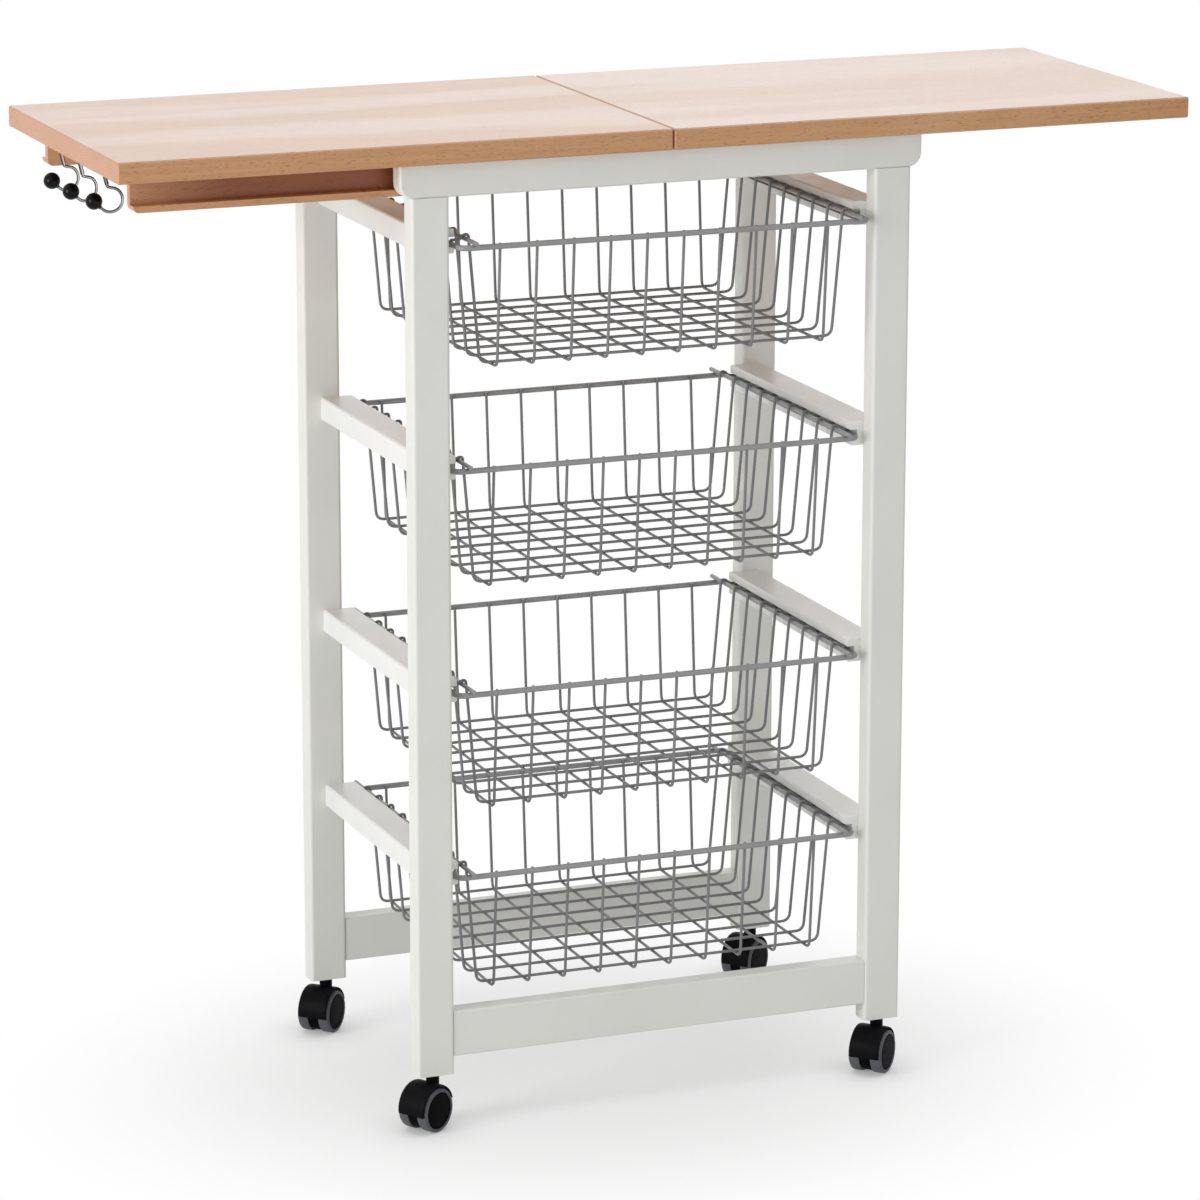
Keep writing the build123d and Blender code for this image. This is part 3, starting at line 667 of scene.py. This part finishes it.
def make_hooks():
    steel = chrome()
    black = moulded("black knob", rgb(4, 4, 6), rgb(9, 9, 11), rough=0.2, gloss=0.14, depth=0.01 * MM)
    leaf_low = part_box("leaf_left")[0]
    shanks = []
    bends = []
    balls = []
    for name, (inset, row) in HOOK_PLACES.items():
        root = Matrix.Translation((leaf_low[0] + inset, row, leaf_low[2]))
        shank, bend, ball = hook_run(root @ Matrix.Rotation(math.radians(HOOK_TURNS[name]), 4, "Z"))
        shanks.append((shank, False))
        bends.append((bend, False))
        balls.append(ball)
    wires("hook_bends", bends, HOOK_WIRE, steel, "left_leaf", ["hook_wires"])
    wires("hook_shanks", shanks, HOOK_SHANK_WIRE, steel, "left_leaf")

    def knobs(form):
        for ball in balls:
            add_turned(form, knob_profile(), ball, KNOB_STEPS)

    solid("hook_knobs", knobs, black, "left_leaf", ["hook_balls"])


# Castors


def castor_place(corner):
    """Where a castor's own frame lies: its stem's axis on the floor, turned as the wheels trail."""
    low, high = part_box(f"castor_{corner}_stem")
    stem = Matrix.Translation(((low[0] + high[0]) / 2, (low[1] + high[1]) / 2, 0))
    return stem @ Matrix.Rotation(math.radians(CASTOR_TURNS[corner]), 4, "Z")


def tyre_profile():
    """The tread ring's section: a rounded tread, a sloping shoulder, a fine groove and a flat rim."""
    tread = WHEEL_RADIUS
    outer = WHEEL_OUTER
    return [
        (DISC_RADIUS, WHEEL_INNER + 1.0 * MM),
        (tread - 1.0 * MM, WHEEL_INNER),
        (tread - 0.3 * MM, WHEEL_INNER + 0.3 * MM),
        (tread, WHEEL_INNER + 1.0 * MM),
        (tread, outer - 2.3 * MM),
        (tread - 0.2 * MM, outer - 1.5 * MM),
        (tread - 0.7 * MM, outer - 0.8 * MM),
        (tread - 1.3 * MM, outer - 0.4 * MM),
        (tread - 1.45 * MM, outer - 0.75 * MM),
        (tread - 1.65 * MM, outer - 0.25 * MM),
        (tread - 2.0 * MM, outer),
        (tread - 2.6 * MM, outer),
        (tread - 2.9 * MM, outer - 0.3 * MM),
        (DISC_RADIUS, outer - 0.7 * MM),
        (DISC_RADIUS, outer - 1.8 * MM),
    ]


def disc_profile():
    """The wheel's body: a slightly domed side disc with a lip round it, and a plain inner face."""
    radius = DISC_RADIUS - DISC_GAP
    outer = WHEEL_OUTER
    dome = []
    for angle in DOME_ANGLES:
        out, up = polar(1.0, angle)
        dome.append((radius * DOME_SHARE * out, outer - DOME_FOOT + DOME_RISE * up))
    return [
        (0.0, WHEEL_INNER),
        (radius - 0.3 * MM, WHEEL_INNER),
        (radius, WHEEL_INNER + 0.4 * MM),
        (radius, outer - 1.5 * MM),
        (radius - 0.3 * MM, outer - 1.1 * MM),
        (radius - 0.8 * MM, outer - 1.1 * MM),
        *dome,
        (0.0, outer - 0.15 * MM),
    ]


def hood_section():
    """The cover's section across the wheels, thin at its edges under a broad rounded shoulder."""
    drop, width = HOOD_SHOULDER
    half = [(HOOD_RADIUS - HOOD_SHELL, HOOD_HALF - HOOD_EDGE)]
    for angle in spaced(0.0, math.pi / 2, HOOD_SHOULDER_POINTS):
        across, out = polar(1.0, angle)
        half.append((HOOD_RADIUS - drop * (1 - out), HOOD_HALF - width * (1 - across)))
    return half + [(radius, -along) for radius, along in reversed(half)]


def hub_profile():
    """The drum between the wheels, ribbed round its rim."""
    top = HUB_RADIUS
    foot = HUB_RADIUS - HUB_RIB_HEIGHT
    edge = HUB_RADIUS - HUB_EDGE
    ribs = []
    for y in spread(HUB_RIBS, HUB_RIB_PITCH):
        ribs += [(foot, y - HUB_RIB_FOOT), (top, y - HUB_RIB_TOP)]
        ribs += [(top, y + HUB_RIB_TOP), (foot, y + HUB_RIB_FOOT)]
    return [(0.0, -HUB_HALF), (edge, -HUB_HALF), *ribs, (edge, HUB_HALF), (0.0, HUB_HALF)]


def neck_profile():
    """The stem's housing, from inside the cover up to the leg, as (radius, height)."""
    return [
        (0.0, NECK_START),
        (NECK_RADIUS, NECK_START),
        (NECK_RADIUS, NECK_TOP - NECK_BEVEL),
        (NECK_RADIUS - NECK_BEVEL, NECK_TOP),
        (0.0, NECK_TOP),
    ]


def hood_form(form, place):
    """The moulded hood: an arched cover, a ribbed hub between the wheels, a bridge and the neck."""
    arch = Matrix.Translation((HOOD_X, 0, HOOD_Z)) @ Matrix.Rotation(-HOOD_TIP, 4, "Y")
    add_turned(form, hood_section(), arch, HOOD_STEPS, HOOD_TAIL - HOOD_TIP)
    add_turned(form, hub_profile(), Matrix.Translation((-CASTOR_TRAIL, 0, WHEEL_RADIUS)), HUB_STEPS)
    add_turned(form, neck_profile(), Matrix.Rotation(math.pi / 2, 4, "X"), NECK_STEPS)
    bridge = Matrix.Translation(BRIDGE_PLACE) @ Matrix.Diagonal((*BRIDGE_SIZE, 1))
    made = bmesh.ops.create_cube(form, size=1.0, matrix=bridge)
    edges = {edge for vert in made["verts"] for edge in vert.link_edges}
    bmesh.ops.bevel(
        form, geom=list(edges), offset=BRIDGE_BEVEL, segments=2, profile=0.5, affect="EDGES", material=-1
    )
    bmesh.ops.transform(form, matrix=place, verts=form.verts)


def make_wheel(castor, side, body, facing, rubber, black):
    """One of a castor's wheels: its tread ring and its body. facing has +Y along the axle, outwards."""
    solid(
        f"{castor}_tyre_{side}",
        lambda form: turned(form, tyre_profile(), facing, TYRE_STEPS),
        rubber,
        body,
        [f"{castor}_wheel_{side}"],
        TYRE_SMOOTH_ANGLE,
    )
    solid(
        f"{castor}_disc_{side}",
        lambda form: turned(form, disc_profile(), facing, DISC_STEPS),
        black,
        body,
    )


def make_castors():
    rubber = moulded("grey tread", rgb(76, 78, 83), rgb(91, 92, 97), rough=0.46, gloss=0.38, depth=0.08 * MM)
    black = moulded("black nylon", rgb(6, 6, 8), rgb(12, 12, 15), rough=0.5, gloss=0.06)
    disc_black = moulded("black disc", rgb(3, 3, 5), rgb(7, 7, 9), rough=0.52, gloss=0.04)
    zinc = metal("zinc plate", ZINC)
    for corner in CASTOR_TURNS:
        castor = f"castor_{corner}"
        place = castor_place(corner)
        solid(
            f"{castor}_cover",
            lambda form: hood_form(form, place),
            black,
            castor,
            [f"{castor}_hood"],
        )
        axle = place @ Matrix.Translation((-CASTOR_TRAIL, 0, WHEEL_RADIUS))
        for side, turn in (("left", 0.0), ("right", math.pi)):
            facing = axle @ Matrix.Rotation(turn, 4, "Z")
            make_wheel(castor, side, f"wheel_{corner}_{side}", facing, rubber, disc_black)
        for node in ("stem", "axle"):
            paint(f"{castor}_{node}", zinc)
    paint("castor_sockets", black)


# Woodwork


def paint(node, material):
    """Gives a CAD node a material."""
    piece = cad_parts[node]
    if not piece.material_slots:
        piece.data.materials.append(material)
    for slot in piece.material_slots:
        slot.material = material


def make_woodwork():
    whites = (rgb(231, 232, 226), rgb(235, 235, 230))
    # A paler copy of the same white for the runners: painted light on their tops
    lit_whites = (rgb(238, 239, 235), rgb(242, 242, 239))
    upright = white_lacquer("white lacquer upright", (1.0, 1.0, 0.06), *whites)
    lengthwise = white_lacquer("white lacquer lengthwise", (0.06, 1.0, 1.0), *whites)
    crosswise = white_lacquer("white lacquer crosswise", (1.0, 0.06, 1.0), *lit_whites)
    channel_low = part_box("slide_channel_front")[0]
    # Where the painted shade lies on the channels' groove floor, and where along X it starts and is deepest
    groove = (-channel_low[1] - CHANNEL_LIP, channel_low[0], channel_low[0] + CHANNEL_PALE_END)
    channel_beech = beech("beech channels", (3.1, 0.021, 0.33), groove=groove)
    brass = metal("brass", BRASS)
    for end in ENDS:
        for side in SIDES:
            paint(f"leg_{end}_{side}", upright)
        paint(f"top_rail_{end}", lengthwise)
        paint(f"bottom_rail_{end}", lengthwise)
        paint(f"slide_tongue_{end}", lengthwise)
        paint(f"slide_channel_{end}", channel_beech)
    for side in SIDES:
        for level in BASKETS:
            paint(f"runner_{side}_{level}", crosswise)
        paint(f"hinge_barrels_{side}", brass)
    paint("slide_stop_blocks", channel_beech)
    paint("slide_channel_stops", channel_beech)
    # How far painted sheen pales each leaf's top, in the plain bands and in the pale ones
    paint("leaf_left", beech("beech left leaf", (0.37, 0.013, 0.2), top=(0.46, 0.76)))
    paint("leaf_right", beech("beech right leaf", (1.9, 0.044, 0.61), top=(0.68, 0.9)))


# Studio


def aimed(place, target):
    """A matrix at a place, looking along -Z at a target with its top up."""
    look = Vector(target) - Vector(place)
    return Matrix.Translation(place) @ look.to_track_quat("-Z", "Y").to_matrix().to_4x4()


def softbox(name, place, target, size, power):
    """An area light that the camera doesn't see."""
    light = bpy.data.lights.new(name, "AREA")
    light.shape = "RECTANGLE"
    light.size, light.size_y = size
    light.energy = power
    lamp = add_object(name, light)
    lamp.matrix_world = aimed(place, target)
    lamp.visible_camera = False


def make_camera():
    camera = bpy.data.cameras.new("camera")
    camera.lens = CAMERA_LENS
    camera.sensor_width = CAMERA_SENSOR
    camera.clip_end = CAMERA_REACH
    holder = add_object("camera", camera)
    holder.matrix_world = aimed(CAMERA_PLACE, CAMERA_TARGET) @ Matrix.Rotation(CAMERA_ROLL, 4, "Z")
    bpy.context.scene.camera = holder


def make_floor():
    """A pale floor that keeps the cart's shadow near it, deepest by the wheels, and ends plain white."""
    finish = finish_named("studio floor")
    scale = [1 / half for half in FLOOR_PATCH]
    shift = [-centre * size for centre, size in zip(FLOOR_PATCH_CENTRE, scale)]
    mapping = {"Vector": finish.place(), "Location": (*shift, 0), "Scale": (*scale, 1)}
    oval = finish.node("ShaderNodeMapping", {}, mapping)
    distance = finish.node("ShaderNodeVectorMath", {"operation": "LENGTH"}, [oval], "Value")
    open_sky = finish.node("ShaderNodeAmbientOcclusion", {"samples": 8}, {"Distance": CONTACT_REACH}, "AO")
    lift = finish.between(distance, FLOOR_PATCH_CORE, 1.0, FLOOR_LIFT, 1.0, "SMOOTHSTEP")
    lift = lift * finish.between(open_sky, CONTACT_CORE, 1.0, CONTACT_LIFT, 1.0)
    matt = finish.node("ShaderNodeBsdfDiffuse", {}, [FLOOR_GREY])
    white = finish.node("ShaderNodeEmission", {}, [WHITE, 1.0])
    finish.end(finish.node("ShaderNodeMixShader", {}, [lift * finish.seen_plainly(), matt, white]))
    mesh = mesh_from(
        "floor", lambda form: bmesh.ops.create_grid(form, x_segments=1, y_segments=1, size=FLOOR_HALF)
    )
    mesh.materials.append(finish.owner)
    floor = add_object("floor", mesh)


def make_world():
    """Dim light from all round, before a background that is plain white."""
    world = Finish(bpy.data.worlds.new("studio"))
    dim = world.node("ShaderNodeBackground", {}, [WHITE, AMBIENT])
    white = world.node("ShaderNodeBackground", {}, [WHITE, 1.0])
    mixed = world.node("ShaderNodeMixShader", {}, [world.seen_plainly(), dim, white])
    bpy.context.scene.world = world.end(mixed, "ShaderNodeOutputWorld")


def make_studio():
    make_camera()
    make_floor()
    softbox("key", place=(-3.3, -0.95, 1.25), target=(0, 0, 0.45), size=(1.2, 1.6), power=58.0)
    softbox("front reflector", place=(0.2, -2.3, 0.3), target=(0, 0, 0.2), size=(1.8, 0.5), power=4.2)
    softbox("overhead", place=(0.3, -0.3, 2.9), target=(0.3, -0.3, 0.0), size=(2.2, 1.6), power=15.0)
    softbox("back sheen", place=(1.45, 3.75, 2.1), target=(0, 0, 0.87), size=(4.0, 2.6), power=22.0)
    make_world()
    bpy.context.scene.view_settings.view_transform = "Standard"


make_woodwork()
make_baskets()
make_hooks()
make_castors()
make_studio()
